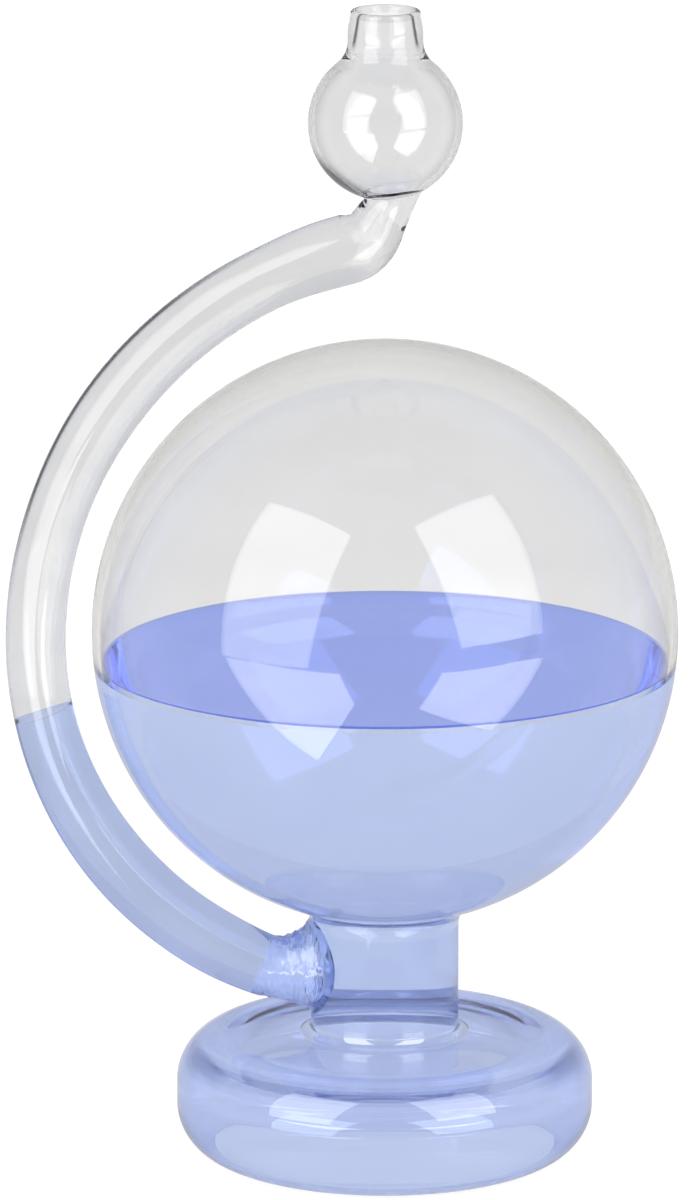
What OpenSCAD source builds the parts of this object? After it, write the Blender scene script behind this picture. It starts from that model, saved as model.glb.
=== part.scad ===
// Weather glass: a sealed globe on a hollow foot, half filled with coloured water,
// with a curved open side arm in which the water level rises and falls with the weather.
// The origin is the centre of the foot's underside, +Z is up and the arm is on the -X side.

/* [Foot] */
// Diameter of the foot
foot_d = 89.6; // [80:0.1:100]
// Height of the foot
foot_h = 27; // [24:0.1:30]
// Radius of the foot's rounded edge
foot_edge_r = 11; // [8:0.1:11.5]
// Thickness of the foot's wall
foot_wall = 1.8; // [1.2:0.1:2.4]

/* [Stem] */
// Diameter of the stem
stem_d = 31.8; // [28:0.1:36]
// Thickness of the stem's wall
stem_wall = 1.8; // [1.2:0.1:2.4]
// Length of the stem between the foot and the globe
stem_len = 27.4; // [26:0.1:32]
// Radius of the ring seal at the foot
foot_weld_r = 2.2; // [1:0.1:3]
// Radius of the flared ring seal at the globe
globe_weld_r = 5; // [3:0.1:6]

/* [Globe] */
// Diameter of the globe
globe_d = 125.4; // [120:0.1:132]
// Thickness of the globe's wall
globe_wall = 1.6; // [1:0.1:2.2]

/* [Arm] */
// Diameter of the arm's tube
arm_d = 13.2; // [12:0.1:14.5]
// Thickness of the arm's wall
arm_wall = 1.25; // [1:0.05:1.6]
// Gap between the arm and the globe where they are closest
arm_gap = 5.35; // [4.5:0.05:8]
// Radius of the arm's lower arc
arm_low_r = 76.7; // [74:0.1:78.5]
// Radius of the arm's upper arc
arm_up_r = 88.5; // [84:0.1:92]
// Clear height between the ring seal at the foot and the arm's underside at the stem
arm_clear = 2.15; // [1:0.05:3]
// How much wider than the tube the elbow at the arm's top is, in radius
elbow_swell = 0.4; // [0.2:0.1:1]
// Slope of the tapered tube between the elbow and the bulb, in degrees above level
elbow_slope = 62; // [54:1:72]
// Length of the tapered tube from the elbow's centre to the bulb
elbow_len = 11.5; // [10:0.1:16]
// Diameter of the tapered tube where it enters the bulb
elbow_end_d = 11.8; // [10:0.1:13]

/* [Arm seal] */
// Length of the flared seal along the arm
spout_weld_len = 13.7; // [10:0.1:16]
// How much wider than the arm the flared seal is at the stem
spout_weld_flare = 3.9; // [2:0.1:4.5]

/* [Bulb] */
// Diameter of the overflow bulb
bulb_d = 32.8; // [28:0.1:36]
// Thickness of the bulb's wall
bulb_wall = 1.4; // [1:0.1:2]
// Thickness of the ring seal below the bulb
bulb_weld_d = 2.6; // [1.5:0.1:3.2]

/* [Mouth] */
// Outer diameter of the mouth's neck
neck_d = 16; // [14:0.1:18]
// Thickness of the neck's wall
neck_wall = 1.8; // [1.2:0.1:2.2]
// Length of the neck above the bulb
neck_len = 10; // [8:0.05:14]
// Radius of the flare between the neck and the bulb
neck_flare_r = 5; // [3:0.1:6]

/* [Water] */
// How far the water in the globe stands below the globe's centre
level_drop = 6.75; // [2:0.05:30]
// Where the water stands in the arm, in degrees below the arm's widest point
spout_level = 11.5; // [4:0.5:30]
// Height of the level's body in the arm
meniscus_h = 1.6; // [1.2:0.1:2.4]
// Depth of the hollow in the level's upper face
meniscus_dip = 1.1; // [0.4:0.1:1.1]
// Clearance between the level and the arm's bore
meniscus_gap = 0.75; // [0.7:0.05:1.2]
// Clearance between the level and the water below it
level_gap = 0.15; // [0.1:0.05:0.3]

/* [Hidden] */
$fn = 128;

GLASS = [0.86, 0.87, 0.88, 0.45];
SEAL = [0.80, 0.82, 0.84, 0.6];
WATER = [0.60, 0.68, 0.93, 0.6];
LEVEL = [0.45, 0.55, 0.90, 0.8];

foot_r = foot_d / 2;
stem_r = stem_d / 2;
stem_bore_r = stem_r - stem_wall;
globe_r = globe_d / 2;
globe_bore_r = globe_r - globe_wall;
arm_r = arm_d / 2;
arm_bore_r = arm_r - arm_wall;
elbow_end_r = elbow_end_d / 2;
bulb_r = bulb_d / 2;
neck_r = neck_d / 2;
neck_bore_r = neck_r - neck_wall;

// Heights along the vessel's axis
stem_top = foot_h + stem_len;
globe_z = stem_top + sqrt(pow(globe_r, 2) - pow(stem_r, 2));
water_z = globe_z - level_drop;

// Centres of the arm's two arcs, which meet at its widest point, at the height arm_z
arm_reach = globe_r + arm_gap + arm_r;
arm_low_x = arm_low_r - arm_reach;
arm_up_x = arm_up_r - arm_reach;
arm_foot_angle = acos((stem_r + arm_low_x) / arm_low_r);
arm_foot_z = foot_h + foot_weld_r + arm_clear + arm_r / sin(arm_foot_angle);
arm_z = arm_foot_z + arm_low_r * sin(arm_foot_angle);

// The upper arc ends at the elbow, so that the taper beyond it ends on the vessel's axis
elbow_x = -elbow_len * cos(elbow_slope);
arm_up_sweep = acos((arm_up_x - elbow_x) / arm_up_r);
elbow_z = arm_z + arm_up_r * sin(arm_up_sweep);
bulb_z = elbow_z + elbow_len * sin(elbow_slope) + bulb_r;
bulb_weld_r = elbow_end_r / sin(elbow_slope);
bulb_weld_z = bulb_z - sqrt(pow(bulb_r, 2) - pow(bulb_weld_r, 2));
bulb_weld_x = (bulb_weld_z - bulb_z + bulb_r) / tan(elbow_slope);
neck_z = bulb_z + sqrt(pow(bulb_r, 2) - pow(neck_r, 2));
mouth_z = neck_z + neck_len;

// The lower arc turns down from the widest point to the stem, and a little way into its bore
arm_low_sweep = acos((stem_bore_r - stem_wall + arm_low_x) / arm_low_r);
weld_angle = arm_foot_angle - spout_weld_len / arm_low_r * 180 / PI;
weld_x = arm_low_x - arm_low_r * cos(weld_angle);
weld_z = arm_z - arm_low_r * sin(weld_angle);
weld_reach = spout_weld_len + stem_r / 3;
weld_slope = atan(spout_weld_flare / spout_weld_len) - 90 + (arm_foot_angle + weld_angle) / 2;

// Outline of a thick disc with a rounded edge, from the axis outwards
module disc_outline(r, h, edge) {
    square([r - edge, h]);
    translate([0, edge]) square([r, h - 2 * edge]);
    for (z = [edge, h - edge]) translate([r - edge, z]) circle(edge);
}

// Outline of the fillet between a vertical tube and a sphere centred on its axis,
// above the sphere when side is 1 and below it when side is -1
module sphere_fillet(tube_r, ball_r, fillet_r, side) {
    $fn = 400;
    ring_r = tube_r + fillet_r;
    ring_z = side * sqrt(pow(ball_r + fillet_r, 2) - pow(ring_r, 2));
    touch = ball_r / (ball_r + fillet_r);
    meet_z = side * sqrt(pow(ball_r, 2) - pow(tube_r, 2));
    difference() {
        polygon([[tube_r, ring_z], [ring_r, ring_z], [ring_r * touch, ring_z * touch],
                 [tube_r, meet_z]]);
        circle(ball_r);
        translate([ring_r, ring_z]) circle(fillet_r);
    }
}

// Bent round bar in the XZ plane about (x, z), from its widest point at -X
// down when side is 1, and up when side is -1
module bent_bar(x, z, bend_r, sweep, side, r) {
    translate([x, 0, z]) rotate([90 * side, 0, 0]) rotate([0, 0, 180])
        rotate_extrude(angle = sweep) translate([bend_r, 0]) circle(r);
}

// The arm's route as a solid bar: lower arc, upper arc, elbow and taper into the bulb
module arm_bar(r, end_r) {
    bent_bar(arm_low_x, arm_z, arm_low_r, arm_low_sweep, 1, r);
    bent_bar(arm_up_x, arm_z, arm_up_r, arm_up_sweep, -1, r);
    translate([elbow_x, 0, elbow_z]) {
        sphere(r + elbow_swell);
        taper(r, end_r);
    }
}

// The tapered tube as a solid bar from the elbow's centre, with a straight end in the bulb
module taper(r, end_r) {
    rotate([0, 90 - elbow_slope, 0]) {
        cylinder(h = elbow_len, r1 = r, r2 = end_r);
        cylinder(h = elbow_len + bulb_r / 2, r = end_r);
    }
}

// The water's bar in the lower arc, from an angle below the widest point to the stem
module arm_water(level) {
    translate([arm_low_x, 0, arm_z]) rotate([90, 0, 0]) rotate([0, 0, 180 + level])
        rotate_extrude(angle = arm_low_sweep - level) translate([arm_low_r, 0])
            circle(arm_bore_r);
}

module foot() {
    color(GLASS) difference() {
        rotate_extrude() disc_outline(foot_r, foot_h, foot_edge_r);
        foot_space();
        translate([0, 0, foot_h / 2]) cylinder(h = foot_h, r = stem_bore_r);
    }
}

// The hollow inside the foot
module foot_space() {
    translate([0, 0, foot_wall]) rotate_extrude()
        disc_outline(foot_r - foot_wall, foot_h - 2 * foot_wall, foot_edge_r - foot_wall);
}

module foot_weld() {
    color(SEAL) rotate_extrude() translate([stem_r, foot_h]) difference() {
        square(foot_weld_r);
        translate([foot_weld_r, foot_weld_r]) circle(foot_weld_r);
    }
}

module stem() {
    color(GLASS) difference() {
        translate([0, 0, foot_h]) cylinder(h = stem_len, r = stem_r);
        translate([0, 0, foot_h / 2]) cylinder(h = stem_top, r = stem_bore_r);
        arm_water(0);
    }
}

module globe_weld() {
    color(SEAL) translate([0, 0, globe_z]) rotate_extrude()
        sphere_fillet(stem_r, globe_r, globe_weld_r, -1);
}

module globe() {
    color(GLASS) difference() {
        translate([0, 0, globe_z]) sphere(globe_r);
        translate([0, 0, globe_z]) sphere(globe_bore_r);
        cylinder(h = stem_top, r = globe_r);
        cylinder(h = globe_z, r = stem_bore_r);
    }
}

module spout_tube() {
    color(GLASS) difference() {
        arm_bar(arm_r, elbow_end_r);
        arm_bar(arm_bore_r, elbow_end_r - arm_wall);
        cylinder(h = globe_z, r = stem_r);
        translate([0, 0, bulb_z]) sphere(bulb_r);
    }
}

module spout_weld() {
    color(SEAL) difference() {
        translate([weld_x, 0, weld_z]) rotate([0, 90 - weld_slope, 0])
            cylinder(h = weld_reach, r1 = arm_r,
                     r2 = arm_r + spout_weld_flare * weld_reach / spout_weld_len);
        cylinder(h = globe_z, r = stem_r);
        bent_bar(arm_low_x, arm_z, arm_low_r, arm_low_sweep, 1, arm_r);
        globe_weld();
        translate([0, 0, globe_z]) sphere(globe_r);
    }
}

module bulb_weld() {
    color(SEAL) difference() {
        translate([bulb_weld_x, 0, bulb_weld_z]) rotate_extrude()
            translate([bulb_weld_r, 0]) circle(bulb_weld_d / 2);
        translate([elbow_x, 0, elbow_z]) taper(arm_r, elbow_end_r);
        translate([0, 0, bulb_z]) sphere(bulb_r);
    }
}

module overflow_bulb() {
    color(GLASS) difference() {
        translate([0, 0, bulb_z]) sphere(bulb_r);
        translate([0, 0, bulb_z]) sphere(bulb_r - bulb_wall);
        translate([0, 0, bulb_z]) cylinder(h = bulb_d, r = neck_bore_r);
        translate([elbow_x, 0, elbow_z]) taper(arm_bore_r, elbow_end_r - arm_wall);
    }
}

module mouth_neck() {
    lip_r = neck_wall / 2;
    color(GLASS) difference() {
        union() {
            translate([0, 0, bulb_z]) cylinder(h = mouth_z - lip_r - bulb_z, r = neck_r);
            translate([0, 0, bulb_z]) rotate_extrude()
                sphere_fillet(neck_r, bulb_r, neck_flare_r, 1);
            translate([0, 0, mouth_z - lip_r]) rotate_extrude()
                translate([neck_r - lip_r, 0]) circle(lip_r);
        }
        translate([0, 0, bulb_z]) cylinder(h = mouth_z, r = neck_bore_r);
        translate([0, 0, bulb_z]) sphere(bulb_r);
    }
}

module reservoir_liquid() {
    color(WATER) {
        foot_space();
        translate([0, 0, foot_h / 2])
            cylinder(h = stem_len + foot_h / 2 + 2 * globe_wall, r = stem_bore_r);
        difference() {
            translate([0, 0, globe_z]) sphere(globe_bore_r);
            translate([0, 0, water_z]) cylinder(h = globe_d, r = globe_d);
        }
    }
}

module spout_liquid() {
    color(WATER) difference() {
        arm_water(spout_level);
        cylinder(h = globe_z, r = stem_bore_r);
    }
}

module spout_meniscus() {
    r = arm_bore_r - meniscus_gap;
    scoop_r = (pow(r, 2) + pow(meniscus_dip, 2)) / (2 * meniscus_dip);
    color(LEVEL) translate([arm_low_x, 0, arm_z]) rotate([0, -spout_level, 0])
        translate([-arm_low_r, 0, level_gap]) difference() {
            cylinder(h = meniscus_h, r = r);
            translate([0, 0, meniscus_h - meniscus_dip + scoop_r]) sphere(scoop_r);
        }
}

foot();
foot_weld();
stem();
globe_weld();
globe();
spout_tube();
spout_weld();
bulb_weld();
overflow_bulb();
mouth_neck();
reservoir_liquid();
spout_liquid();
spout_meniscus();
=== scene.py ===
import math

import bpy
from mathutils import Matrix, Vector, noise

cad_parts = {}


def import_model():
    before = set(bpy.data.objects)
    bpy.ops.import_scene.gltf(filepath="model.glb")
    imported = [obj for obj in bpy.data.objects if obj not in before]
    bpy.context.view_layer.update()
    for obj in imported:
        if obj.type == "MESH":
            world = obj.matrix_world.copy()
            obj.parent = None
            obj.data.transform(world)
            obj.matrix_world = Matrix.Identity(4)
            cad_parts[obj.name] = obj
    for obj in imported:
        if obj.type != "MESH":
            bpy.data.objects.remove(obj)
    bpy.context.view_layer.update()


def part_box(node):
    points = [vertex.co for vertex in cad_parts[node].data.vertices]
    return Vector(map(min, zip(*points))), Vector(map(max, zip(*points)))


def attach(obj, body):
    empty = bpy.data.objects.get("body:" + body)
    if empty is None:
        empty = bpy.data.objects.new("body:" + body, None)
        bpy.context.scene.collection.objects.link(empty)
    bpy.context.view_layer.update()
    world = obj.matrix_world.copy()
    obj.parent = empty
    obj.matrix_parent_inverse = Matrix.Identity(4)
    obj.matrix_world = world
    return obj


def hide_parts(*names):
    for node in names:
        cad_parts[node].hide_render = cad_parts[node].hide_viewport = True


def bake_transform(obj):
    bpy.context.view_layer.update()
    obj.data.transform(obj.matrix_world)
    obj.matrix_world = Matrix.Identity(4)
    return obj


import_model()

# Sizes in this file are in millimetres unless a name or a comment says otherwise
MM = 0.001
X, Y, Z = 0, 1, 2


def high(node, axis):
    """A CAD node's highest coordinate along an axis."""
    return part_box(node)[1][axis] / MM


# Sizes read from the frame
FOOT_R = high("foot", X)
FOOT_H = high("foot", Z)
STEM_R = high("stem", X)
GLOBE_R = min(high("globe", X), high("globe", Y))
GLOBE_Z = high("globe", Z) - GLOBE_R
BULB_R = high("overflow_bulb", X)
BULB_TOP = high("overflow_bulb", Z)
MOUTH_Z = high("mouth_neck", Z)
WATER_Z = high("reservoir_liquid", Z)
ARM_REACH_OUT = -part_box("spout_tube")[0][X] / MM

# The foot, the stem and the globe
FOOT_EDGE_R = 11.0
FOOT_SHOULDER_R = 7.5
FOOT_SHOULDER_DROP = 4.0
FOOT_WALL = 1.8
FOOT_SEAL_R = 2.2
FOOT_SEAL_TOP = 30.2
FOOT_RIM = STEM_R + FOOT_SEAL_R
INNER_CORNER_R = 1.6
STEM_WALL = 1.8
STEM_BORE_R = STEM_R - STEM_WALL
GLOBE_SEAL_R = 5.0
GLOBE_SEAL_PAST_DEG = 2
GLOBE_CORNER_R = 2.5
GLOBE_WALL = 1.6
GLOBE_BORE_R = GLOBE_R - GLOBE_WALL

# The mouth and the bulb
NECK_R = 8.0
NECK_WALL = 1.8
NECK_BORE_R = NECK_R - NECK_WALL
NECK_FLARE_R = 6.5
NECK_BORE_LOW_R = 7.6
NECK_CORNER_R = 2.2
NECK_SWELL = 0.18
NECK_BORE_SWELL = -0.12
NECK_SEAM_BACK_DEG = 3
MOUTH_R = 7.45
LIP_R = 0.75
BULB_WALL = 1.4
BULB_BORE_R = BULB_R - BULB_WALL
BULB_Z = BULB_TOP - math.sqrt(BULB_R ** 2 - NECK_BORE_R ** 2)

# The arm: two arcs about one height, a slope up to the bulb and a bend between them
ARM_R = 6.6
ARM_WALL = 1.25
ARM_REACH = ARM_REACH_OUT - ARM_R
ARM_LOW_R = 76.7
ARM_UP_R = 88.5
ARM_LOW_X = ARM_LOW_R - ARM_REACH
ARM_UP_X = ARM_UP_R - ARM_REACH
ARM_Z = 112.71
ARM_START_X = STEM_R * 0.6
ARM_END_X = 1.3
ARM_INTO_BULB = 2
ARM_LEVEL = math.radians(11.5)
ARM_LEVEL_TILT = math.radians(8)
ELBOW_X, ELBOW_Z = -5.4, 199.1
ELBOW_SLOPE = math.radians(62)
ELBOW_BEND_R = 9.0

# Tries for the length of the slope between the bend and the bulb
SLOPE_SHORTEST = 3
SLOPE_STEP = 0.01
SLOPE_TRIES = 2000

# How the arm's radius and wall differ from ARM_R and ARM_WALL along it
ARM_THINNER = 0.15
ARM_LOW_SWELL = 0.65
ARM_UP_SWELL = 0.35
ELBOW_SWELL = 0.65
ELBOW_END_R = 5.4
ARM_WALL_GROWTH = 0.15

# The seal of the arm on the stem: its oval edge on the stem, and where it ends on the arm
ARM_SEAL_Z = 42.0
ARM_SEAL_HIGH = 11.0
ARM_SEAL_WIDE = 9.6
ARM_SEAL_LONG = 11.5

# How that seal runs: the height that it heads for from the stem, and its speed at each end
SEAL_AIM_Z = ARM_SEAL_Z - 1.5
SEAL_LEAVE = 0.75
SEAL_ARRIVE = 9.0

# The uneven surface of that seal: coarse waves with finer ones on them, fading at its ends
RIPPLE_MIDDLE_Z = ARM_SEAL_Z - 2
RIPPLE_ALONG = 0.9
RIPPLE_ROUND = 0.22
RIPPLE_HEIGHT = 0.55
FINE_RIPPLE_SCALE = 2.3
FINE_RIPPLE_HEIGHT = 0.28
RIPPLE_END = 1.15
RIPPLE_FADE = 0.7

# The hole that is cut in the stem's wall for that seal, from outside to inside the stem
HOLE_START_X = -STEM_R - 3
HOLE_END_X = -2.0

# The seal of the arm on the bulb: its round edge on the bulb, and how far down the arm it goes
BULB_SEAL_LEAN = math.radians(6.5)
BULB_SEAL_EDGE = math.radians(23)
BULB_SEAL_LONG = 4.5

# How that seal runs: its speed at each end, and a small angle in radians along the bulb
BULB_SEAL_SPEED = 3.0
BULB_SEAL_AHEAD = 0.01

# The gap between two pieces of fused glass, and how far water reaches into the wall round it
SEAM_GAP = 0.012
WATER_BITE = 0.06

# The water's edge in the globe, drawn up the wall, and how its rings spread from the wall
BRIM_RISE = 1.3
BRIM_WIDE = 1.1
DISH_WIDE = 5.0
DISH_SPACING = 1.6

# The water's edge in the arm, and how far its surface, its base and the column lie below it
LEVEL_RISE = 0.4
LEVEL_RISE_WIDE = 0.8
LEVEL_MIDDLE_R = 0.01
LEVEL_BACK = 0.25
LEVEL_BASE_BACK = 0.28
COLUMN_BACK = 0.3

# Fineness of the meshes
TURN = 160
TUBE_TURN = 96
STEP = math.radians(2.5)
ELBOW_STEP = math.radians(5)
LIP_STEP = math.radians(12)
SHARP = math.radians(50)
ARM_STEP = 1.2
ARM_ARC_PARTS = 70
SEAL_PARTS = 26
BULB_SEAL_PARTS = 16
DISH_PARTS = 12
LEVEL_PARTS = 8

# Tolerances
SAME_POINT = 1e-4
ON_AXIS = 1e-6
ROUNDING = 1e-9

# Camera, in metres but for its sensor, for the photograph's frame of 698 by 1200 pixels
PHOTO_W, PHOTO_H = 698, 1200
SENSOR = 36.0
FOCAL_PX = 10593
CAMERA_FAR = 2.2
CAMERA_Z = 0.6491
AIM_Z = 0.12204
AXIS_PX = 385
CAMERA_X = (PHOTO_W / 2 - AXIS_PX) * math.hypot(CAMERA_FAR, CAMERA_Z - AIM_Z) / FOCAL_PX

# Stage and light, in metres
FLOOR_HALF = 6.0
FLOOR_Z = 0.00008
FLOOR_GLOW = 0.93
FLOOR_MIRRORED = 0.5
STAGE_GREY = 0.15
CARD_Z = 0.0005
CARD_GLOW = 4.2
LEFT_CARD = ((-0.080, -0.172), (-0.095, -0.480), (-0.641, -2.0), (-2.5, -2.0), (-2.5, -1.212))
RIGHT_CARD = ((0.174, -0.216), (0.092, -0.427), (0.792, -2.0), (2.5, -2.0), (2.5, -1.263))
SOFTBOX_POWER = 2.8
SOFTBOX_AWAY = 0.87
WORLD_LEVEL = 0.12
WORLD_OVERHEAD = 0.55
WORLD_OVERHEAD_GREY = 0.95
WORLD_MIRRORED = 0.5


# Objects, and nodes of materials

def new_object(name, data):
    """An object with the given data, put in the scene."""
    made = bpy.data.objects.new(name, data)
    bpy.context.scene.collection.objects.link(made)
    return made


def new_material(name):
    """A material with its nodes, its links and its shader."""
    material = bpy.data.materials.new(name)
    material.use_nodes = True
    nodes = material.node_tree.nodes
    return material, nodes, material.node_tree.links, nodes["Principled BSDF"]


def grey(value):
    """A colour without hue."""
    return value, value, value


def eased(nodes, links, value, start, end):
    """A value eased from 0 at start to 1 at end."""
    node = nodes.new("ShaderNodeMapRange")
    node.interpolation_type = "SMOOTHSTEP"
    node.inputs["From Min"].default_value = start
    node.inputs["From Max"].default_value = end
    links.new(value, node.inputs["Value"])
    return node.outputs["Result"]


def product(nodes, links, value, *others):
    """The product of two or more values."""
    for other in others:
        node = nodes.new("ShaderNodeMath")
        node.operation = "MULTIPLY"
        links.new(value, node.inputs[0])
        links.new(other, node.inputs[1])
        value = node.outputs["Value"]
    return value


def mixed(nodes, links, kind, factor, a, b):
    """Two colours blended; a and b are a colour or a socket."""
    node = nodes.new("ShaderNodeMix")
    node.data_type = "RGBA"
    node.blend_type = kind
    links.new(factor, node.inputs["Factor"])
    for name, value in (("A", a), ("B", b)):
        if isinstance(value, tuple):
            node.inputs[name].default_value = (*value, 1)
        else:
            links.new(value, node.inputs[name])
    return node.outputs["Result"]


# Places on the glass with painted shade: a dark band and dark edge lines

# Each span runs from where the colour starts to where it is full. FACING says how far the
# surface turns away from the eye, from 0 to 1.
# The painted shade band on the foot's shoulder
SHOULDER_RISE = (19.5, 22.0)
SHOULDER_FALL = (24.9, 24.0)
SHOULDER_FACING = (0.30, 0.46)
# The painted shade line along the arm's bore
ARM_EDGE_FAR = (ARM_UP_R + 1.5, ARM_UP_R + 3.5)
ARM_EDGE_HEIGHT = (118.0, 145.0)
ARM_EDGE_X = (-20.0, -46.0)
ARM_EDGE_FACING = (0.42, 0.62)
# The painted shade line at the bulb's lower left edge
BULB_EDGE_MIDDLE = (-10.5, -2.0, BULB_Z - 13)
BULB_EDGE_FAR = (11.0, 6.0)
BULB_EDGE_FACING = (0.35, 0.55)
# The painted shade lines in the neck's bore
NECK_EDGE_HEIGHT = (240.5, 243.0)
NECK_EDGE_FACING = (0.48, 0.66)


def along_axis(nodes, links, place, axis, span):
    """One coordinate of a place, eased over a span."""
    split = nodes.new("ShaderNodeSeparateXYZ")
    links.new(place, split.inputs["Vector"])
    return eased(nodes, links, split.outputs[axis], span[0] * MM, span[1] * MM)


def away_from(nodes, links, place, point, span):
    """How far a place is from a point, eased over a span."""
    node = nodes.new("ShaderNodeVectorMath")
    node.operation = "DISTANCE"
    links.new(place, node.inputs[0])
    node.inputs[1].default_value = Vector(point) * MM
    return eased(nodes, links, node.outputs["Value"], span[0] * MM, span[1] * MM)


def shoulder_shade(nodes, links, place, facing):
    """Painted shade: a darker band on the foot's rounded shoulder, to the sides of its front,
    where the glass is thickest.
    """
    return product(nodes, links, along_axis(nodes, links, place, "Z", SHOULDER_RISE),
                   along_axis(nodes, links, place, "Z", SHOULDER_FALL),
                   eased(nodes, links, facing, *SHOULDER_FACING))


def arm_edge_shade(nodes, links, place, facing):
    """Painted shade: a black line on the edge of the bore on the outer side of the arm's upper
    bend, fading out at its ends.
    """
    middle = (ARM_UP_X, 0, ARM_Z)
    return product(nodes, links, away_from(nodes, links, place, middle, ARM_EDGE_FAR),
                   along_axis(nodes, links, place, "Z", ARM_EDGE_HEIGHT),
                   along_axis(nodes, links, place, "X", ARM_EDGE_X),
                   eased(nodes, links, facing, *ARM_EDGE_FACING))


def bulb_edge_shade(nodes, links, place, facing):
    """Painted shade: a near-black line on the edge of the bulb at its lower left."""
    return product(nodes, links,
                   away_from(nodes, links, place, BULB_EDGE_MIDDLE, BULB_EDGE_FAR),
                   eased(nodes, links, facing, *BULB_EDGE_FACING))


def neck_edge_shade(nodes, links, place, facing):
    """Painted shade: near-black lines on the edges of the neck's bore, fading out above the bulb.
    """
    return product(nodes, links, along_axis(nodes, links, place, "Z", NECK_EDGE_HEIGHT),
                   eased(nodes, links, facing, *NECK_EDGE_FACING))


# Materials

def glass(name, low, high, ior, bump=0.05, scale=(30.0, 30.0, 90.0), edge=None, facing=None,
          painted_shade=None, painted_shade_colour=None, coat=0.0):
    """Clear glass or water, tinted between two colours in soft streaks.

    Where the surface turns away from the eye, over the span facing, the tint is multiplied by the
    edge colour. The function painted_shade gives a place where painted shade, in the colour
    painted_shade_colour, is mixed into the tint.
    """
    material, nodes, links, shader = new_material(name)
    place = nodes.new("ShaderNodeTexCoord").outputs["Object"]
    stretch = nodes.new("ShaderNodeMapping")
    stretch.inputs["Scale"].default_value = scale
    links.new(place, stretch.inputs["Vector"])
    streaks = nodes.new("ShaderNodeTexNoise")
    streaks.inputs["Scale"].default_value = 1.0
    streaks.inputs["Detail"].default_value = 2.0
    streaks.inputs["Roughness"].default_value = 0.45
    links.new(stretch.outputs["Vector"], streaks.inputs["Vector"])
    ramp = nodes.new("ShaderNodeValToRGB")
    ramp.color_ramp.elements[0].position = 0.3
    ramp.color_ramp.elements[1].position = 0.7
    ramp.color_ramp.elements[0].color = (*low, 1)
    ramp.color_ramp.elements[1].color = (*high, 1)
    links.new(streaks.outputs["Fac"], ramp.inputs["Fac"])
    colour = ramp.outputs["Color"]
    turned_away = nodes.new("ShaderNodeLayerWeight").outputs["Facing"]
    if edge:
        amount = eased(nodes, links, turned_away, *facing)
        colour = mixed(nodes, links, "MULTIPLY", amount, colour, edge)
    # Painted shade: a dark colour mixed into the tint where the painted_shade function says
    if painted_shade:
        amount = painted_shade(nodes, links, place, turned_away)
        colour = mixed(nodes, links, "MIX", amount, colour, painted_shade_colour)
    links.new(colour, shader.inputs["Base Color"])
    if bump:
        waves = nodes.new("ShaderNodeBump")
        waves.inputs["Strength"].default_value = bump
        waves.inputs["Distance"].default_value = 0.0004
        links.new(streaks.outputs["Fac"], waves.inputs["Height"])
        links.new(waves.outputs["Normal"], shader.inputs["Normal"])
    shader.inputs["Transmission Weight"].default_value = 1.0
    shader.inputs["Roughness"].default_value = 0.0
    shader.inputs["IOR"].default_value = ior
    shader.inputs["Coat Weight"].default_value = coat
    shader.inputs["Coat IOR"].default_value = 2.3
    shader.inputs["Coat Roughness"].default_value = 0.0
    return material


def water(name, low, high, ior=1.04):
    """Water, with a smooth surface."""
    return glass(name, low, high, ior=ior, bump=0)


def fused():
    """Glass that runs on into the next piece, with no surface between the two."""
    material, _, _, shader = new_material("fused_seam")
    shader.inputs["Alpha"].default_value = 0.0
    return material


# The outer surfaces of dry glass
DRY = glass("dry_glass", (0.713, 0.708, 0.684), (0.743, 0.738, 0.714), ior=1.35,
            edge=grey(0.82), facing=(0.5, 0.95), coat=0.08)
TUBE = glass("tube_glass", grey(0.645), grey(0.675), ior=1.35, coat=0.05)
# The bulb's glass has a near-black painted shade line at its lower left edge
DRY_BULB = glass("bulb_glass", grey(0.68), grey(0.71), ior=1.2, edge=grey(0.80),
                 facing=(0.3, 0.8), painted_shade=bulb_edge_shade, painted_shade_colour=grey(0.01), coat=0.2)
DRY_NECK = glass("neck_glass", grey(0.70), grey(0.73), ior=1.2, edge=grey(0.70),
                 facing=(0.25, 0.8), coat=0.2)
DRY_SEAL = glass("dry_sealed_glass", grey(0.68), grey(0.71), ior=1.2, bump=0.1, coat=0.2)

# The outer surfaces of glass that is always full of water, with about half of its tint
BLUE_LOW, BLUE_HIGH = (0.672, 0.730, 0.885), (0.690, 0.746, 0.893)
WET = glass("wet_glass", BLUE_LOW, BLUE_HIGH, ior=1.47, edge=(0.86, 0.89, 0.98),
            facing=(0.5, 0.9))
RING = glass("ring_glass", BLUE_LOW, BLUE_HIGH, ior=1.3, coat=0.25)
WET_STEM = glass("stem_glass", (0.636, 0.696, 0.858), (0.652, 0.711, 0.868), ior=1.3,
                 edge=(0.66, 0.72, 0.94), facing=(0.6, 0.95), coat=0.1)
# The foot's glass has a painted shade band on its rounded shoulder
WET_FOOT = glass("foot_glass", (0.665, 0.725, 0.903), (0.684, 0.743, 0.913), ior=1.47,
                 edge=(0.74, 0.79, 0.93), facing=(0.3, 0.8), painted_shade=shoulder_shade,
                 painted_shade_colour=(0.380, 0.455, 0.720), coat=0.15)
FOOT_RING = glass("foot_ring_glass", (0.655, 0.715, 0.875), (0.670, 0.730, 0.885), ior=1.3,
                  coat=0.8)
SEAL = glass("sealed_glass", (0.57, 0.62, 0.75), (0.74, 0.78, 0.87), ior=1.3, bump=1.0,
             scale=(2000.0, 300.0, 450.0), coat=0.35)

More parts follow.
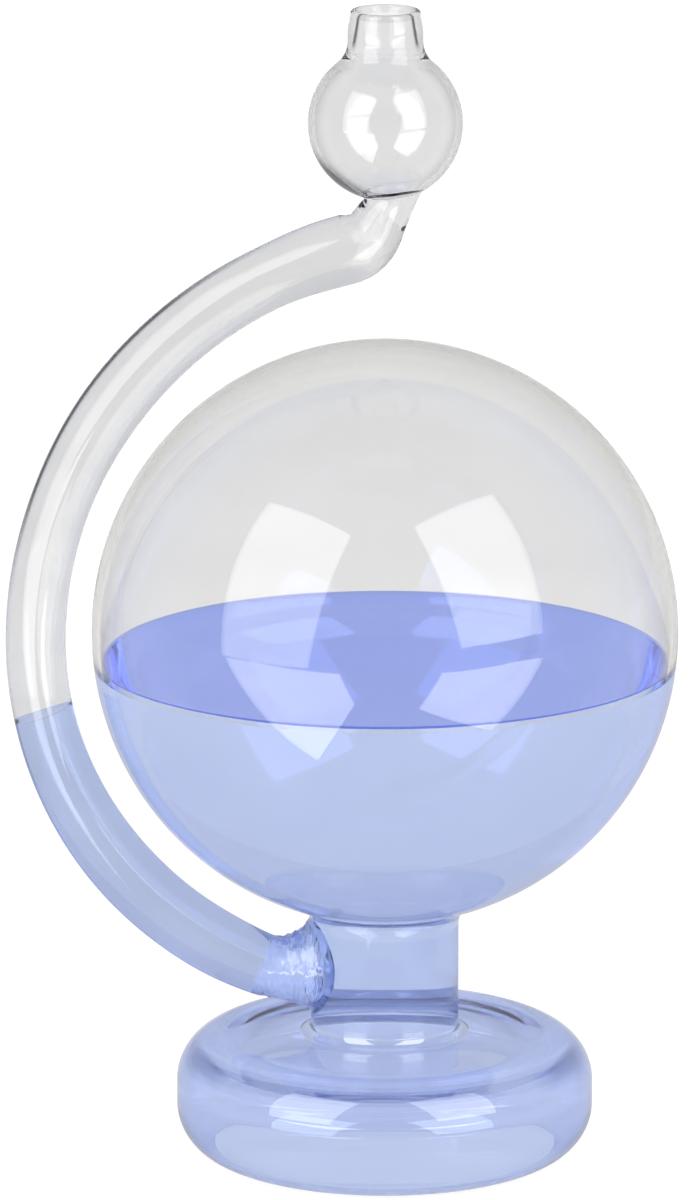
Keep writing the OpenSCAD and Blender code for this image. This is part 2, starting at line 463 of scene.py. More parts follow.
# The inner surfaces, which are clear
CLEAR_LOW, CLEAR_HIGH = grey(0.985), grey(0.995)
INSIDE = glass("dry_inside", CLEAR_LOW, CLEAR_HIGH, ior=1.35, coat=0.08)
WET_INSIDE = glass("wet_inside", CLEAR_LOW, CLEAR_HIGH, ior=1.37, coat=0.2)
STEM_INSIDE = glass("stem_inside", CLEAR_LOW, CLEAR_HIGH, ior=1.2, coat=0.3)
FOOT_INSIDE = glass("foot_inside", CLEAR_LOW, CLEAR_HIGH, ior=1.45, coat=0.6)
RING_INSIDE = glass("ring_inside", CLEAR_LOW, CLEAR_HIGH, ior=1.2, coat=0.3)
# The arm's bore has a black painted shade line along its edge on the outer side of the upper bend
TUBE_INSIDE = glass("tube_inside", CLEAR_LOW, CLEAR_HIGH, ior=1.1, edge=grey(0.85),
                    facing=(0.50, 0.80), painted_shade=arm_edge_shade, painted_shade_colour=grey(0.0), coat=0.2)
BULB_INSIDE = glass("bulb_inside", CLEAR_LOW, CLEAR_HIGH, ior=1.2, edge=grey(0.70),
                    facing=(0.5, 0.85), coat=0.2)
# The neck's bore has near-black painted shade lines at its edges
NECK_INSIDE = glass("neck_inside", CLEAR_LOW, CLEAR_HIGH, ior=1.2, painted_shade=neck_edge_shade,
                    painted_shade_colour=grey(0.01))
SEAL_INSIDE = glass("sealed_inside", CLEAR_LOW, CLEAR_HIGH, ior=1.2, bump=0.1)

# The water
WATER = water("globe_water", (0.675, 0.732, 0.884), (0.687, 0.744, 0.894))
STEM_WATER = water("stem_water", (0.638, 0.698, 0.858), (0.650, 0.709, 0.868))
FOOT_WATER = water("foot_water", (0.669, 0.729, 0.903), (0.680, 0.739, 0.913))
ARM_WATER = water("arm_water", (0.590, 0.690, 0.980), (0.610, 0.710, 0.995), ior=1.1)
SURFACE = water("globe_level", (0.200, 0.283, 0.970), (0.215, 0.298, 0.985))
ARM_SURFACE = water("arm_level", (0.60, 0.68, 0.93), (0.61, 0.69, 0.94), ior=1.03)

FUSED = fused()


# Meshes

def make_piece(name, points, faces, materials, face_slots=None):
    """A smooth mesh object from points, with the number of a material for each face."""
    mesh = bpy.data.meshes.new(name)
    mesh.from_pydata([Vector(p) * MM for p in points], [], faces)
    for material in materials:
        mesh.materials.append(material)
    if face_slots:
        mesh.polygons.foreach_set("material_index", face_slots)
    mesh.shade_smooth()
    mesh.set_sharp_from_angle(angle=SHARP)
    mesh.validate()
    return new_object(name, mesh)


def pierced(piece, cutter):
    """The piece with the cutter's shape taken out of it."""
    cut = piece.modifiers.new("opening", "BOOLEAN")
    cut.operation = "DIFFERENCE"
    cut.solver = "EXACT"
    cut.material_mode = "TRANSFER"
    cut.object = cutter
    whole = piece.evaluated_get(bpy.context.evaluated_depsgraph_get())
    mesh = bpy.data.meshes.new_from_object(whole)
    piece.modifiers.clear()
    piece.data = mesh
    bpy.data.objects.remove(cutter)
    mesh.set_sharp_from_angle(angle=SHARP)
    return piece


def arc(x, z, r, start, end, step=STEP):
    """Points on an arc about (x, z), with angles in degrees from +X towards +Z."""
    start, end = math.radians(start), math.radians(end)
    count = max(2, math.ceil(abs(end - start) / step))
    return [(x + r * math.cos(start + (end - start) * i / count),
             z + r * math.sin(start + (end - start) * i / count)) for i in range(count + 1)]


def line(a, b, step=2.0):
    """Points from a to b, about a step apart."""
    count = max(1, math.ceil(math.dist(a, b) / step))
    return [(a[0] + (b[0] - a[0]) * i / count, a[1] + (b[1] - a[1]) * i / count)
            for i in range(count + 1)]


def sagged(a, b, depth):
    """Points from a to b on a shallow curve that lies outside the straight line by depth."""
    run = line(a, b, step=1.0)
    count = len(run) - 1
    return [(x + depth * math.sin(math.pi * i / count), z) for i, (x, z) in enumerate(run)]


def joined(*runs):
    """One list of points from several runs, with doubled points left out."""
    points = []
    for run in runs:
        for p in run:
            if not points or math.dist(p, points[-1]) > SAME_POINT:
                points.append(p)
    return points


def on_axis(points, last=True):
    """The points with the last or the first one put exactly on the Z axis."""
    i = -1 if last else 0
    points[i] = (0, points[i][1])
    return points


def full_turn(count):
    """Angles evenly round a full turn."""
    return [2 * math.pi * k / count for k in range(count)]


def circle(middle, side, r, count):
    """Points on a circle, from the direction side round to +Y and on."""
    return [middle + side * (r * math.cos(a)) + Vector((0, r * math.sin(a), 0))
            for a in full_turn(count)]


def turned(name, outline, materials, slot_of):
    """The outline, points of (radius, height) in order, turned about the Z axis into a solid.

    The function slot_of gives the number of a material from a face's number in the outline
    and the height of its middle.
    """
    points, rings, faces, face_slots = [], [], [], []
    for r, z in outline:
        if r < ON_AXIS:
            rings.append([len(points)])
            points.append((0, 0, z))
            continue
        rings.append(list(range(len(points), len(points) + TURN)))
        points += [(r * math.cos(a), r * math.sin(a), z) for a in full_turn(TURN)]
    for i in range(len(outline)):
        a, b = rings[i], rings[(i + 1) % len(outline)]
        if len(a) == 1 and len(b) == 1:
            continue
        slot = slot_of(i, (outline[i][1] + outline[(i + 1) % len(outline)][1]) / 2)
        for k in range(TURN):
            n = (k + 1) % TURN
            if len(a) == 1:
                faces.append((a[0], b[n], b[k]))
            elif len(b) == 1:
                faces.append((a[k], a[n], b[0]))
            else:
                faces.append((a[k], a[n], b[n], b[k]))
            face_slots.append(slot)
    return make_piece(name, points, faces, materials, face_slots)


def turned_wall(name, outer, inner, outside, inside):
    """A wall of glass between an outer and an inner outline, fused to others at its edges."""
    last, total = len(outer) - 1, len(outer) + len(inner)

    def slot_of(i, z):
        if i < last:
            return 0
        return 2 if i in (last, total - 1) else 1

    return turned(name, outer + inner, [outside, inside, FUSED], slot_of)


def loop_faces(a, b, count):
    """The faces between two loops of points whose first points have the numbers a and b."""
    faces = []
    for k in range(count):
        n = (k + 1) % count
        faces.append((a + k, b + k, b + n, a + n))
    return faces


def skinned_wall(name, outer, inner, outside, inside):
    """A wall of glass between an outer and an inner skin of loops, fused at its edges."""
    loops, count = outer + inner[::-1], len(outer[0])
    loop_slots = [0] * (len(outer) - 1) + [2] + [1] * (len(inner) - 1) + [2]
    faces, face_slots = [], []
    for i, slot in enumerate(loop_slots):
        faces += loop_faces(i * count, (i + 1) % len(loops) * count, count)
        face_slots += [slot] * count
    points = [p for loop in loops for p in loop]
    return make_piece(name, points, faces, [outside, inside, FUSED], face_slots)


def eased_curve(a, leave, b, arrive, count):
    """Points on a smooth curve from a to b, with its speed at each end."""
    out = []
    for i in range(count + 1):
        t = i / count
        out.append(a * (2 * t ** 3 - 3 * t ** 2 + 1) + leave * (t ** 3 - 2 * t ** 2 + t)
                   + b * (3 * t ** 2 - 2 * t ** 3) + arrive * (t ** 3 - t ** 2))
    return out


def smooth(a, b, x):
    """0 up to a and 1 from b on, eased between the two."""
    t = min(max((x - a) / (b - a), 0.0), 1.0)
    return t * t * (3 - 2 * t)


def spread(a, b, step):
    """Numbers from a to b, about a step apart."""
    count = max(2, math.ceil((b - a) / step))
    return [a + (b - a) * i / count for i in range(count + 1)]


# The vessel of foot, stem and globe, from outlines of its outer and its inner surface

def seal_fillet(tube_r, ball_r, ball_z, fillet_r, side):
    """The fillet between a tube and a ball on its axis, from the tube to the ball."""
    x = tube_r + fillet_r
    z = ball_z + side * math.sqrt((ball_r + fillet_r) ** 2 - x ** 2)
    end = math.degrees(math.atan2(ball_z - z, -x)) % 360
    return arc(x, z, fillet_r, 180, end)


def foot_hollow(grow=0.0):
    """The foot's hollow from its ceiling near the stem to the middle of its floor."""
    r, edge = FOOT_R - FOOT_WALL + grow, FOOT_EDGE_R - FOOT_WALL + grow
    top, low = FOOT_H - FOOT_WALL + grow, FOOT_WALL - grow
    shoulder, drop = FOOT_SHOULDER_R + grow, FOOT_SHOULDER_DROP
    slope = math.atan2(2 * drop, FOOT_R - FOOT_RIM - FOOT_SHOULDER_R)
    end = (r - shoulder + shoulder * math.sin(slope), top - drop)
    level = line((FOOT_RIM, top), end, step=1.0)
    ceiling = [(x, top - drop * (i / (len(level) - 1)) ** 2) for i, (x, _) in enumerate(level)]
    centre_z = top - drop - shoulder * math.cos(slope)
    return joined(ceiling,
                  arc(r - shoulder, centre_z, shoulder, 90 - math.degrees(slope), 0),
                  arc(r - edge, low + edge, edge, 0, -90),
                  line((r - edge, low), (0, low), step=6))


def foot_glass():
    """The foot, a hollow disc with a rounded edge, open in the middle of its top."""
    r, h, edge = FOOT_R, FOOT_H, FOOT_EDGE_R
    outer = joined(line((0, 0), (r - edge, 0), step=6), arc(r - edge, edge, edge, -90, 0),
                   arc(r - edge, h - edge, edge, 0, 90),
                   line((r - edge, h), (FOOT_RIM + SEAM_GAP, h), step=4))
    inner = foot_hollow()
    inner[0] = (FOOT_RIM + SEAM_GAP, inner[0][1])
    return turned_wall("foot_glass", outer, on_axis(inner), WET_FOOT, FOOT_INSIDE)


def foot_seal():
    """The ring seal between the foot and the stem."""
    top, corner = FOOT_H - FOOT_WALL, INNER_CORNER_R
    outer = joined(arc(FOOT_RIM, FOOT_H + FOOT_SEAL_R, FOOT_SEAL_R, 270, 180),
                   line((STEM_R, FOOT_H + FOOT_SEAL_R), (STEM_R, FOOT_SEAL_TOP)))
    inner = joined(line((STEM_BORE_R, FOOT_SEAL_TOP), (STEM_BORE_R, top + corner)),
                   arc(STEM_BORE_R + corner, top + corner, corner, 180, 270),
                   line((STEM_BORE_R + corner, top), (FOOT_RIM, top)))
    return turned_wall("foot_seal", outer, inner, FOOT_RING, RING_INSIDE)


SEAL_CURVE = seal_fillet(STEM_R, GLOBE_R, GLOBE_Z, GLOBE_SEAL_R, -1)
STEM_END_Z = SEAL_CURVE[0][1]


def on_stem(r, a, grow=0.0):
    """A point of the arm seal's oval edge, on a cylinder of radius r about the Z axis."""
    y = (ARM_SEAL_WIDE + grow) * math.sin(a)
    return Vector((-math.sqrt(r ** 2 - y ** 2), y,
                   ARM_SEAL_Z - (ARM_SEAL_HIGH + grow) * math.cos(a)))


def stem_glass():
    """The stem's tube, with the oval opening into the arm."""
    low, top = FOOT_SEAL_TOP + SEAM_GAP, STEM_END_Z - SEAM_GAP
    stem = turned_wall("stem_glass", line((STEM_R, low), (STEM_R, top)),
                       line((STEM_BORE_R, top), (STEM_BORE_R, low)), WET_STEM, STEM_INSIDE)
    oval = [on_stem(STEM_R, a, SEAM_GAP) for a in full_turn(TUBE_TURN)]
    ends = [Vector((x, p.y, p.z)) for x in (HOLE_START_X, HOLE_END_X) for p in oval]
    count = TUBE_TURN
    faces = [(k, (k + 1) % count, (k + 1) % count + count, k + count) for k in range(count)]
    faces += [tuple(range(count)), tuple(reversed(range(count, 2 * count)))]
    cutter = make_piece("stem_opening", ends, faces, [FUSED])
    return pierced(stem, cutter)


def globe_corner(grow=0.0):
    """The rounded inner corner between the stem's bore and the globe's inside."""
    corner = GLOBE_CORNER_R
    x = STEM_BORE_R + grow + corner
    z = GLOBE_Z - math.sqrt((GLOBE_BORE_R + corner) ** 2 - x ** 2)
    return arc(x, z, corner, 180, math.degrees(math.atan2(GLOBE_Z - z, -x)))


def angle_at(point):
    """The angle of a point (radius, height) about the globe's centre, in degrees."""
    return math.degrees(math.atan2(point[1] - GLOBE_Z, point[0]))


GLOBE_CORNER = globe_corner()
GLOBE_START = max(angle_at(SEAL_CURVE[-1]), angle_at(GLOBE_CORNER[-1])) + GLOBE_SEAL_PAST_DEG


def globe_seal():
    """The flared ring seal between the stem and the globe."""
    outer = joined(SEAL_CURVE, arc(0, GLOBE_Z, GLOBE_R, angle_at(SEAL_CURVE[-1]), GLOBE_START))
    inner = joined(arc(0, GLOBE_Z, GLOBE_BORE_R, GLOBE_START, angle_at(GLOBE_CORNER[-1])),
                   reversed(GLOBE_CORNER), line(GLOBE_CORNER[0], (STEM_BORE_R, STEM_END_Z)))
    return turned_wall("globe_seal", outer, inner, RING, RING_INSIDE)


def globe_glass():
    """The globe, whose glass is dry above the water's level and wet below it."""
    start = GLOBE_START + math.degrees(SEAM_GAP / GLOBE_R)
    out_level = math.degrees(math.asin((WATER_Z - GLOBE_Z) / GLOBE_R))
    in_level = math.degrees(math.asin((WATER_Z - GLOBE_Z) / GLOBE_BORE_R))
    outer = joined(arc(0, GLOBE_Z, GLOBE_R, start, out_level),
                   arc(0, GLOBE_Z, GLOBE_R, out_level, 90))
    inner = joined(arc(0, GLOBE_Z, GLOBE_BORE_R, 90, in_level),
                   arc(0, GLOBE_Z, GLOBE_BORE_R, in_level, start))
    top = len(outer) - 1

    def slot_of(i, z):
        if i == top + len(inner):
            return 4
        if i < top:
            return 1 if z < WATER_Z else 0
        return 3 if z < WATER_Z else 2

    return turned("globe_glass", on_axis(outer) + on_axis(inner, last=False),
                  [DRY, WET, INSIDE, WET_INSIDE, FUSED], slot_of)


def reservoir_water():
    """The water in foot, stem and globe, drawn up a little where it meets the globe's wall."""
    hollow = foot_hollow(WATER_BITE)[::-1]
    top, corner = FOOT_H - FOOT_WALL + WATER_BITE, INNER_CORNER_R
    bore, ball = STEM_BORE_R + WATER_BITE, GLOBE_BORE_R + WATER_BITE
    end = math.degrees(math.asin((WATER_Z + BRIM_RISE - GLOBE_Z) / ball))
    neck = globe_corner(WATER_BITE)
    side = joined(on_axis(hollow, last=False), [(bore + corner, top)],
                  arc(bore + corner, top + corner, corner, 270, 180),
                  line((bore, top + corner), (bore, neck[0][1]), step=4),
                  neck, arc(0, GLOBE_Z, ball, angle_at(neck[-1]), end))
    brim = side[-1][0]
    dish = []
    for i in range(1, DISH_PARTS + 1):
        away = DISH_WIDE * (i / DISH_PARTS) ** DISH_SPACING
        dish.append((brim - away, WATER_Z + BRIM_RISE * math.exp(-away / BRIM_WIDE)))
    dish += line(dish[-1], (0, WATER_Z), step=8)[1:]
    last = len(side) - 1

    def slot_of(i, z):
        if i >= last:
            return 3
        if z < FOOT_H:
            return 2
        return 1 if z < STEM_END_Z else 0

    return turned("reservoir_water", side + on_axis(dish),
                  [WATER, STEM_WATER, FOOT_WATER, SURFACE], slot_of)


# The arm: a route of centres with a radius at each, from the stem up to the bulb

def arm_route():
    """Points of the arm's centreline in the XZ plane, from inside the stem to the bulb."""
    parts = ARM_ARC_PARTS
    first = math.acos((ARM_START_X + ARM_LOW_X) / ARM_LOW_R)
    low = [(ARM_LOW_X - ARM_LOW_R * math.cos(a), ARM_Z - ARM_LOW_R * math.sin(a))
           for a in [first * (1 - i / parts) for i in range(parts + 1)]]
    # The bend's centre lies beside the slope to the bulb and touches the upper arc from outside
    slope_end = Vector((ARM_END_X, BULB_Z - BULB_R))
    slope = Vector((math.cos(ELBOW_SLOPE), math.sin(ELBOW_SLOPE)))
    side = Vector((-slope.y, slope.x)) * ELBOW_BEND_R
    arm_centre = Vector((ARM_UP_X, ARM_Z))

    def miss(back):
        centre = slope_end - slope * back + side
        return abs((centre - arm_centre).length - (ARM_UP_R + ELBOW_BEND_R))

    back = min((SLOPE_SHORTEST + i * SLOPE_STEP for i in range(SLOPE_TRIES)), key=miss)
    centre = slope_end - slope * back + side
    away = centre - arm_centre
    leave = math.atan2(away.y, -away.x)
    up = [(ARM_UP_X - ARM_UP_R * math.cos(a), ARM_Z + ARM_UP_R * math.sin(a))
          for a in [leave * i / parts for i in range(1, parts + 1)]]
    start = math.degrees(math.atan2(-away.y, -away.x))
    bend = arc(centre.x, centre.y, ELBOW_BEND_R, start, math.degrees(ELBOW_SLOPE) - 90,
               ELBOW_STEP)[1:]
    last = slope_end + slope * ARM_INTO_BULB
    return low + up + bend + line(bend[-1], (last.x, last.y), step=1.0)[1:]


def lengths_along(points):
    """The length of the way up to each point."""
    lengths = [0.0]
    for a, b in zip(points, points[1:]):
        lengths.append(lengths[-1] + math.dist(a, b))
    return lengths


ROUTE = arm_route()
LENGTHS = lengths_along(ROUTE)


def at_length(s):
    """The route's point and direction at a length along it."""
    s = min(max(s, 0.0), LENGTHS[-1])
    i = max(k for k in range(len(LENGTHS) - 1) if LENGTHS[k] <= s + ROUNDING)
    t = (s - LENGTHS[i]) / (LENGTHS[i + 1] - LENGTHS[i])
    # The direction is a mean with the neighbouring stretches, so that the tube bends evenly
    a, b = Vector(ROUTE[i]), Vector(ROUTE[i + 1])
    before = Vector(ROUTE[max(i - 1, 0)])
    after = Vector(ROUTE[min(i + 2, len(ROUTE) - 1)])
    way = ((b - a).normalized() * 2 + (b - before).normalized() * (1 - t)
           + (after - a).normalized() * t).normalized()
    return a.lerp(b, t), way


def length_near(x, z):
    """The length along the route of the point nearest to (x, z)."""
    return min(zip(LENGTHS, ROUTE), key=lambda e: math.dist(e[1], (x, z)))[0]


# Lengths along the route
S_STEM = length_near(-STEM_R, ARM_Z - ARM_LOW_R)
S_WIDEST = length_near(-ARM_REACH, ARM_Z)
S_ELBOW = length_near(ELBOW_X, ELBOW_Z)
S_BULB = LENGTHS[-1] - ARM_INTO_BULB
S_SEAL_END = S_STEM + ARM_SEAL_LONG
S_TUBE_END = S_BULB - BULB_SEAL_LONG
S_LEVEL = length_near(ARM_LOW_X - ARM_LOW_R * math.cos(ARM_LEVEL),
                      ARM_Z - ARM_LOW_R * math.sin(ARM_LEVEL))

# Changes of the arm's radius: how much, and the two lengths between which it comes
ARM_TOP_R = ARM_R - ARM_THINNER + ARM_UP_SWELL + ELBOW_SWELL
ARM_CHANGES = (
    (ARM_LOW_SWELL, S_STEM, S_STEM + 25),
    (-ARM_LOW_SWELL, S_STEM + 40, S_WIDEST - 5),
    (ARM_UP_SWELL, S_WIDEST + 25, S_WIDEST + 60),
    (ELBOW_SWELL, S_ELBOW - 22, S_ELBOW - 4),
    (ELBOW_END_R - ARM_TOP_R, S_ELBOW - 3, S_BULB - 2),
)


def arm_radius(s):
    """Outer radius of the arm: a little wider low down and at the elbow, tapered to the bulb."""
    r = ARM_R - ARM_THINNER
    for change, start, end in ARM_CHANGES:
        r += change * smooth(start, end, s)
    return r


def bore_radius(s):
    """Inner radius of the arm."""
    return arm_radius(s) - ARM_WALL - ARM_WALL_GROWTH * smooth(S_WIDEST, S_ELBOW, s)


def cross_section(s):
    """The arm's middle at a length, with the directions along it and across it."""
    centre, way = at_length(s)
    return (Vector((centre.x, 0, centre.y)), Vector((way.x, 0, way.y)),
            Vector((-way.y, 0, way.x)))


def ring(s, r):
    """A ring of points round the route at a length, and the route's direction there."""
    middle, ahead, side = cross_section(s)
    return circle(middle, side, r, TUBE_TURN), ahead


def tilted(points, s):
    """The points of a ring slid along the tube so that the ring leans as the level does."""
    middle, ahead, side = cross_section(s)
    return [p + ahead * ((p - middle).dot(side) * -math.tan(ARM_LEVEL_TILT)) for p in points]


def ripples(p, t):
    """The uneven surface of the flared seal: fine rings and folds from the torch."""
    fade = math.sin(math.pi * min(t * RIPPLE_END, 1.0)) ** RIPPLE_FADE
    q = Vector((p.x * RIPPLE_ALONG, p.y * RIPPLE_ROUND, p.z * RIPPLE_ROUND))
    return fade * (RIPPLE_HEIGHT * noise.noise(q)
                   + FINE_RIPPLE_HEIGHT * noise.noise(q * FINE_RIPPLE_SCALE))


def seal_skin(cylinder_r, radius, grow, bumpy):
    """Loops of the arm seal's skin, from its oval edge on the stem to the arm's tube."""
    ends, ahead = ring(S_SEAL_END, radius)
    curves = []
    for a, end in zip(full_turn(TUBE_TURN), ends):
        start = on_stem(cylinder_r, a, grow)
        normal = Vector((start.x, start.y, 0)).normalized()
        inward = Vector((start.x, 0, SEAL_AIM_Z)) - start
        inward -= normal * inward.dot(normal)
        curve = eased_curve(start, inward * SEAL_LEAVE, end, ahead * SEAL_ARRIVE, SEAL_PARTS)
        if bumpy:
            for i, p in enumerate(curve):
                out = (p - Vector((p.x, 0, RIPPLE_MIDDLE_Z))).normalized()
                curve[i] = p + out * ripples(p, i / SEAL_PARTS)
        curves.append(curve)
    return list(zip(*curves))


def arm_seal():
    """The lumpy seal where the arm enters the side of the stem."""
    outer = seal_skin(STEM_R, arm_radius(S_SEAL_END), 0, True)
    inner = seal_skin(STEM_BORE_R, bore_radius(S_SEAL_END), 0, False)
    return skinned_wall("arm_seal", outer, inner, SEAL, RING_INSIDE)


def arm_tube():
    """The arm's tube between its two seals."""
    lengths = spread(S_SEAL_END + SEAM_GAP, S_TUBE_END - SEAM_GAP, ARM_STEP)
    outer = [ring(s, arm_radius(s))[0] for s in lengths]
    inner = [ring(s, bore_radius(s))[0] for s in lengths]
    return skinned_wall("arm_tube", outer, inner, TUBE, TUBE_INSIDE)


def arm_water():
    """The column of water in the arm, from the stem up to just below the level."""
    top, count = S_LEVEL - COLUMN_BACK, TUBE_TURN
    loops = seal_skin(STEM_BORE_R, bore_radius(S_SEAL_END) + WATER_BITE, WATER_BITE, False)
    for s in spread(S_SEAL_END, top, ARM_STEP)[1:]:
        loops.append(ring(s, bore_radius(s) + WATER_BITE)[0])
    loops[-1] = tilted(loops[-1], top)
    points = [p for loop in loops for p in loop]
    faces = []
    for i in range(len(loops) - 1):
        faces += loop_faces(i * count, (i + 1) * count, count)
    faces += [tuple(range(count)), tuple(reversed(range(len(points) - count, len(points))))]
    slots = [0] * (len(faces) - 1) + [1]
    return make_piece("arm_water", points, faces, [ARM_WATER, FUSED], slots)


def arm_level():
    """The dished surface of the water in the arm."""
    radius, count = bore_radius(S_LEVEL) + WATER_BITE, TUBE_TURN
    points, faces = [], []
    for j in range(LEVEL_PARTS + 1):
        r = max(radius * (1 - j / LEVEL_PARTS), LEVEL_MIDDLE_R)
        row, ahead = ring(S_LEVEL - LEVEL_BACK, r)
        rise = LEVEL_RISE * math.exp((r - radius) / LEVEL_RISE_WIDE)
        points += [p + ahead * rise for p in tilted(row, S_LEVEL)]
    middle, base = LEVEL_PARTS * count, len(points)
    points += tilted(ring(S_LEVEL - LEVEL_BASE_BACK, radius)[0], S_LEVEL)
    for j in range(LEVEL_PARTS):
        faces += loop_faces(j * count, (j + 1) * count, count)
    faces.append(tuple(reversed(range(middle, middle + count))))
    faces += loop_faces(base, 0, count)
    faces.append(tuple(range(base, base + count)))
    slots = [0] * (len(faces) - 1) + [1]
    return make_piece("arm_level", points, faces, [ARM_SURFACE, FUSED], slots)


# The bulb and the mouth

NECK_CURVE = seal_fillet(NECK_R, BULB_R, BULB_Z, NECK_FLARE_R, 1)
NECK_TOUCH = math.degrees(math.atan2(NECK_CURVE[-1][1] - BULB_Z, NECK_CURVE[-1][0]))
BULB_SEAM = NECK_TOUCH - NECK_SEAM_BACK_DEG
BULB_END = math.radians(90 + BULB_SEAM)


def on_bulb(r, beta, count=TURN):
    """A ring on a ball about the bulb's centre, beta from the middle of its lower opening.

    The rings stand square to the opening at its edge, and level at the neck.
    """
    lean = BULB_SEAL_LEAN * (1 - smooth(BULB_SEAL_EDGE, BULB_END, beta))
    down = Vector((math.sin(lean), 0, -math.cos(lean)))
    middle = Vector((0, 0, BULB_Z)) + down * (r * math.cos(beta))
    return circle(middle, Vector((down.z, 0, -down.x)), r * math.sin(beta), count)


def bulb_glass():
    """The bulb between the arm's seal and the neck."""
    angles = spread(BULB_SEAL_EDGE + SEAM_GAP / BULB_R, BULB_END, STEP)
    outer = [on_bulb(BULB_R, a) for a in angles]
    inner = [on_bulb(BULB_BORE_R, a) for a in angles]
    return skinned_wall("bulb_glass", outer, inner, DRY_BULB, BULB_INSIDE)


def bulb_seal_skin(ball_r, radius):
    """Loops of the bulb seal's skin, from the arm's tube to its round edge on the bulb."""
    starts, ahead = ring(S_TUBE_END, radius)
    edge = on_bulb(ball_r, BULB_SEAL_EDGE, TUBE_TURN)
    further = on_bulb(ball_r, BULB_SEAL_EDGE + BULB_SEAL_AHEAD, TUBE_TURN)
    curves = []
    for start, end, past in zip(starts, edge, further):
        leave, arrive = ahead * BULB_SEAL_SPEED, (past - end).normalized() * BULB_SEAL_SPEED
        curves.append(eased_curve(start, leave, end, arrive, BULB_SEAL_PARTS))
    return list(zip(*curves))


def bulb_seal():
    """The ring seal between the arm and the bulb."""
    outer = bulb_seal_skin(BULB_R, arm_radius(S_TUBE_END))
    inner = bulb_seal_skin(BULB_BORE_R, bore_radius(S_TUBE_END))
    return skinned_wall("bulb_seal", outer, inner, DRY_SEAL, SEAL_INSIDE)


def neck_glass():
    """The neck, a little narrower at its fire-polished lip, with a bore that widens downwards."""
    start = BULB_SEAM + math.degrees(SEAM_GAP / BULB_R)
    outer = joined(arc(0, BULB_Z, BULB_R, start, NECK_TOUCH), reversed(NECK_CURVE),
                   sagged(NECK_CURVE[0], (MOUTH_R, MOUTH_Z - LIP_R), NECK_SWELL),
                   arc(MOUTH_R - LIP_R, MOUTH_Z - LIP_R, LIP_R, 0, 180, LIP_STEP))
    corner, low_r = NECK_CORNER_R, NECK_BORE_LOW_R
    x = low_r + corner
    z = BULB_Z + math.sqrt((BULB_BORE_R + corner) ** 2 - x ** 2)
    tilt = math.degrees(math.atan2(BULB_Z - z, -x)) % 360
    bore = sagged((MOUTH_R - 2 * LIP_R, MOUTH_Z - LIP_R), (low_r, z), NECK_BORE_SWELL)[1:]
    inner = joined(bore, arc(x, z, corner, 180, tilt),
                   arc(0, BULB_Z, BULB_BORE_R, tilt - 180, start))
    outside, bore_end = len(outer) - 1, len(outer) + len(bore) - 2
    total = len(outer) + len(inner)

    def slot_of(i, z):
        if i == total - 1:
            return 3
        if i <= outside:
            return 0
        return 1 if i <= bore_end else 2

    return turned("neck_glass", outer + inner,
                  [DRY_NECK, NECK_INSIDE, SEAL_INSIDE, FUSED], slot_of)


# Stage and light

def mirror_ray(nodes, links):
    """1 for a ray that comes straight from a mirror reflection, 0 for all others."""
    rays = nodes.new("ShaderNodeLightPath")
    node = nodes.new("ShaderNodeMath")
    node.operation = "SUBTRACT"
    node.use_clamp = True
    links.new(rays.outputs["Is Glossy Ray"], node.inputs[0])
    links.new(rays.outputs["Is Transmission Ray"], node.inputs[1])
    return node.outputs["Value"]


def lit_sheet(name, corners, z):
    """A flat lit sheet of the stage; gives its material's nodes, links and shader."""
    mesh = bpy.data.meshes.new(name)
    mesh.from_pydata([(x, y, z) for x, y in corners], [], [tuple(range(len(corners)))])
    piece = new_object(name, mesh)
    material, nodes, links, shader = new_material(name)
    shader.inputs["Base Color"].default_value = (*grey(STAGE_GREY), 1)
    shader.inputs["Roughness"].default_value = 1.0
    shader.inputs["Specular IOR Level"].default_value = 0.0
    shader.inputs["Emission Color"].default_value = (1, 1, 1, 1)
    mesh.materials.append(material)
    return nodes, links, shader


def floor():
    """A pale floor that touches the underside of the foot, dimmer in mirror reflections."""
    half = FLOOR_HALF
    corners = ((-half, -half), (half, -half), (half, half), (-half, half))
    nodes, links, shader = lit_sheet("floor", corners, FLOOR_Z)
    strength = nodes.new("ShaderNodeMapRange")
    strength.inputs["To Min"].default_value = FLOOR_GLOW
    strength.inputs["To Max"].default_value = FLOOR_MIRRORED
    links.new(mirror_ray(nodes, links), strength.inputs["Value"])
    links.new(strength.outputs["Result"], shader.inputs["Emission Strength"])


def card(name, corners):
    """A lit card that lies on the floor in front of the object, out of the picture."""
    _, _, shader = lit_sheet(name, corners, CARD_Z)
    shader.inputs["Emission Strength"].default_value = CARD_GLOW


def softbox(name, direction, width, height):
    """A rectangular lamp that looks at the globe from a direction, in metres."""
    lamp = bpy.data.lights.new(name, "AREA")
    lamp.shape = "RECTANGLE"
    lamp.size, lamp.size_y = width, height
    lamp.energy = SOFTBOX_POWER * math.pi * width * height
    piece = new_object(name, lamp)
    towards = Vector(direction).normalized()
    turn = towards.to_track_quat("Z", "Y").to_matrix().to_4x4()
    piece.matrix_world = Matrix.Translation(
        Vector((0, 0, GLOBE_Z * MM)) + towards * SOFTBOX_AWAY) @ turn
    piece.visible_camera = False


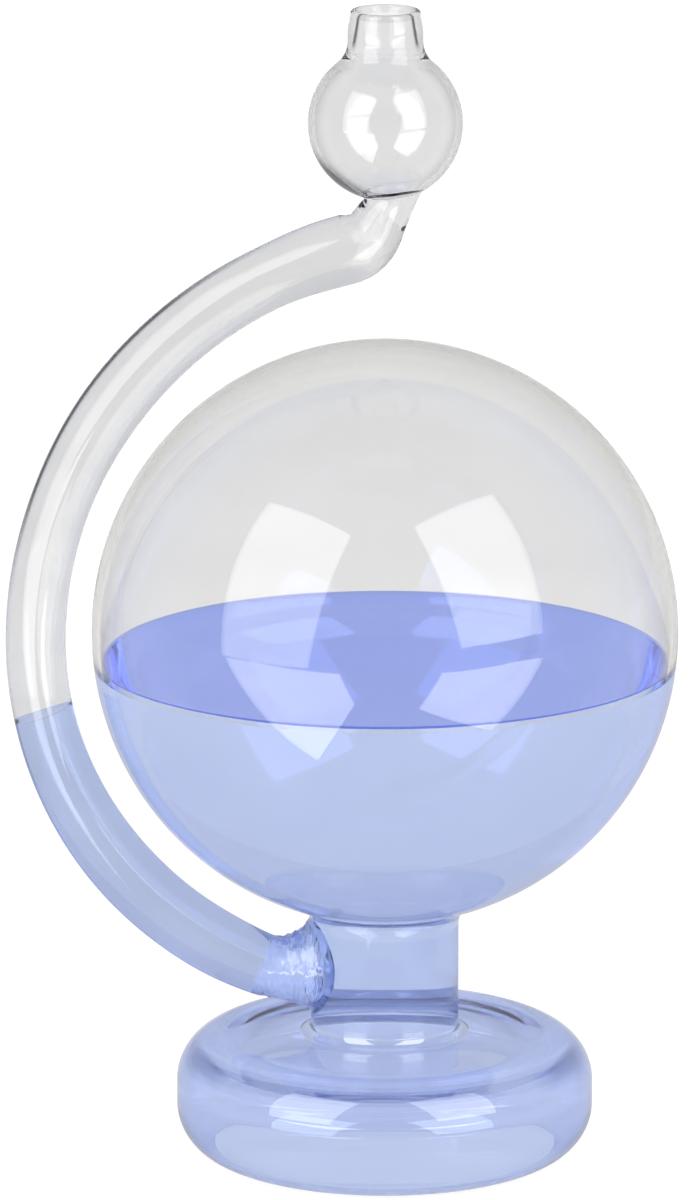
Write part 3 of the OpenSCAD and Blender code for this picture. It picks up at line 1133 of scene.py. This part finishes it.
def world():
    """White to the camera; elsewhere white up to a little above level and greyer overhead.

    Mirror reflections show it at half strength.
    """
    made = bpy.data.worlds.new("studio")
    bpy.context.scene.world = made
    made.use_nodes = True
    nodes, links = made.node_tree.nodes, made.node_tree.links
    place = nodes.new("ShaderNodeTexCoord")
    split = nodes.new("ShaderNodeSeparateXYZ")
    links.new(place.outputs["Generated"], split.inputs["Vector"])
    ramp = nodes.new("ShaderNodeValToRGB")
    low, top = ramp.color_ramp.elements
    low.position, low.color = WORLD_LEVEL, (1, 1, 1, 1)
    top.position, top.color = WORLD_OVERHEAD, (*grey(WORLD_OVERHEAD_GREY), 1)
    links.new(split.outputs["Z"], ramp.inputs["Fac"])
    rays = nodes.new("ShaderNodeLightPath")
    mirrored = mixed(nodes, links, "MULTIPLY", mirror_ray(nodes, links),
                     ramp.outputs["Color"], grey(WORLD_MIRRORED))
    seen = mixed(nodes, links, "MIX", rays.outputs["Is Camera Ray"], mirrored, (1, 1, 1))
    links.new(seen, nodes["Background"].inputs["Color"])


def camera():
    """The camera that sees the object as the photograph does."""
    data = bpy.data.cameras.new("camera")
    data.sensor_fit = "VERTICAL"
    data.sensor_width = data.sensor_height = SENSOR
    data.lens = FOCAL_PX / PHOTO_H * SENSOR
    data.clip_end = 50
    piece = new_object("camera", data)
    piece.location = (CAMERA_X, -CAMERA_FAR, CAMERA_Z)
    aim = Vector((CAMERA_X, 0, AIM_Z)) - piece.location
    piece.rotation_euler = aim.to_track_quat("-Z", "Y").to_euler()
    bpy.context.scene.camera = piece


# The pieces on their bodies

def on_vessel(piece, slot, *nodes):
    """Puts a piece on the vessel in place of its CAD nodes, which are hidden; the slot is not
    used.
    """
    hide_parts(*nodes)
    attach(piece, "vessel")


on_vessel(foot_glass(), "clear_glass", "foot")
on_vessel(foot_seal(), "seal_glass", "foot_weld")
on_vessel(stem_glass(), "clear_glass", "stem")
on_vessel(globe_seal(), "seal_glass", "globe_weld")
on_vessel(globe_glass(), "clear_glass", "globe")
on_vessel(arm_seal(), "seal_glass", "spout_weld")
on_vessel(arm_tube(), "clear_glass", "spout_tube")
on_vessel(bulb_seal(), "seal_glass", "bulb_weld")
on_vessel(bulb_glass(), "clear_glass", "overflow_bulb")
on_vessel(neck_glass(), "clear_glass", "mouth_neck")
on_vessel(reservoir_water(), "blue_water", "reservoir_liquid")

# The column of water, with its transform baked into its mesh
COLUMN = arm_water()
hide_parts("spout_liquid")
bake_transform(COLUMN)
TOP = arm_level()
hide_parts("spout_meniscus")
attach(TOP, "level")

floor()
card("left_card", LEFT_CARD)
card("right_card", RIGHT_CARD)
softbox("left_softbox", direction=(-0.66, -0.616, 0.435), width=0.62, height=0.90)
softbox("right_softbox", direction=(0.612, -0.594, 0.521), width=0.58, height=0.82)
world()
camera()

scene = bpy.context.scene
scene.view_settings.view_transform = "Standard"
scene.cycles.max_bounces = 40
scene.cycles.transmission_bounces = 40
scene.cycles.glossy_bounces = 12
scene.cycles.transparent_max_bounces = 16
